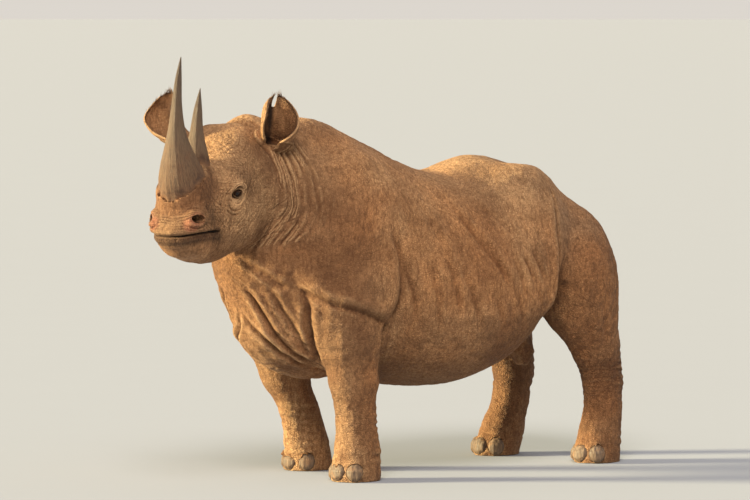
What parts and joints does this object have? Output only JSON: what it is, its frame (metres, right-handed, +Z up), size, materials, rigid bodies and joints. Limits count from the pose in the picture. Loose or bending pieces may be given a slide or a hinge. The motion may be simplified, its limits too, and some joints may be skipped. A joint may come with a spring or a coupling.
{
  "type": "black rhinoceros",
  "caption": "Standing black rhinoceros, head turned to its left, with curved nose horns, cupped ears, a bristle-edged tail and toenails; a still, life-size display model.",
  "frame": {"origin": "middle of the bounding box, on the floor under the feet", "axes": "+X forward along the trunk, +Y the animal's left, +Z up"},
  "size_m": [2.6274, 0.98, 1.8466],
  "materials": {
    "hide": "dusty, matte, pebbled and wrinkled",
    "horn": "fibrous, satin towards the tips",
    "eye": "wet gloss",
    "nail": "worn, matte"
  },
  "bodies": {
    "root": {"torso": "hide", "neck": "hide", "head": "hide", "tail": "hide", "foreleg_left": "hide", "foreleg_right": "hide", "hindleg_left": "hide", "hindleg_right": "hide", "ear_left": "hide", "ear_right": "hide", "horn_front": "horn", "horn_rear": "horn", "eye_left": "eye", "eye_right": "eye", "nail_foreleg_left_1": "nail", "nail_foreleg_left_2": "nail", "nail_foreleg_left_3": "nail", "nail_foreleg_right_1": "nail", "nail_foreleg_right_2": "nail", "nail_foreleg_right_3": "nail", "nail_hindleg_left_1": "nail", "nail_hindleg_left_2": "nail", "nail_hindleg_left_3": "nail", "nail_hindleg_right_1": "nail", "nail_hindleg_right_2": "nail", "nail_hindleg_right_3": "nail"}
  },
  "joints": []
}
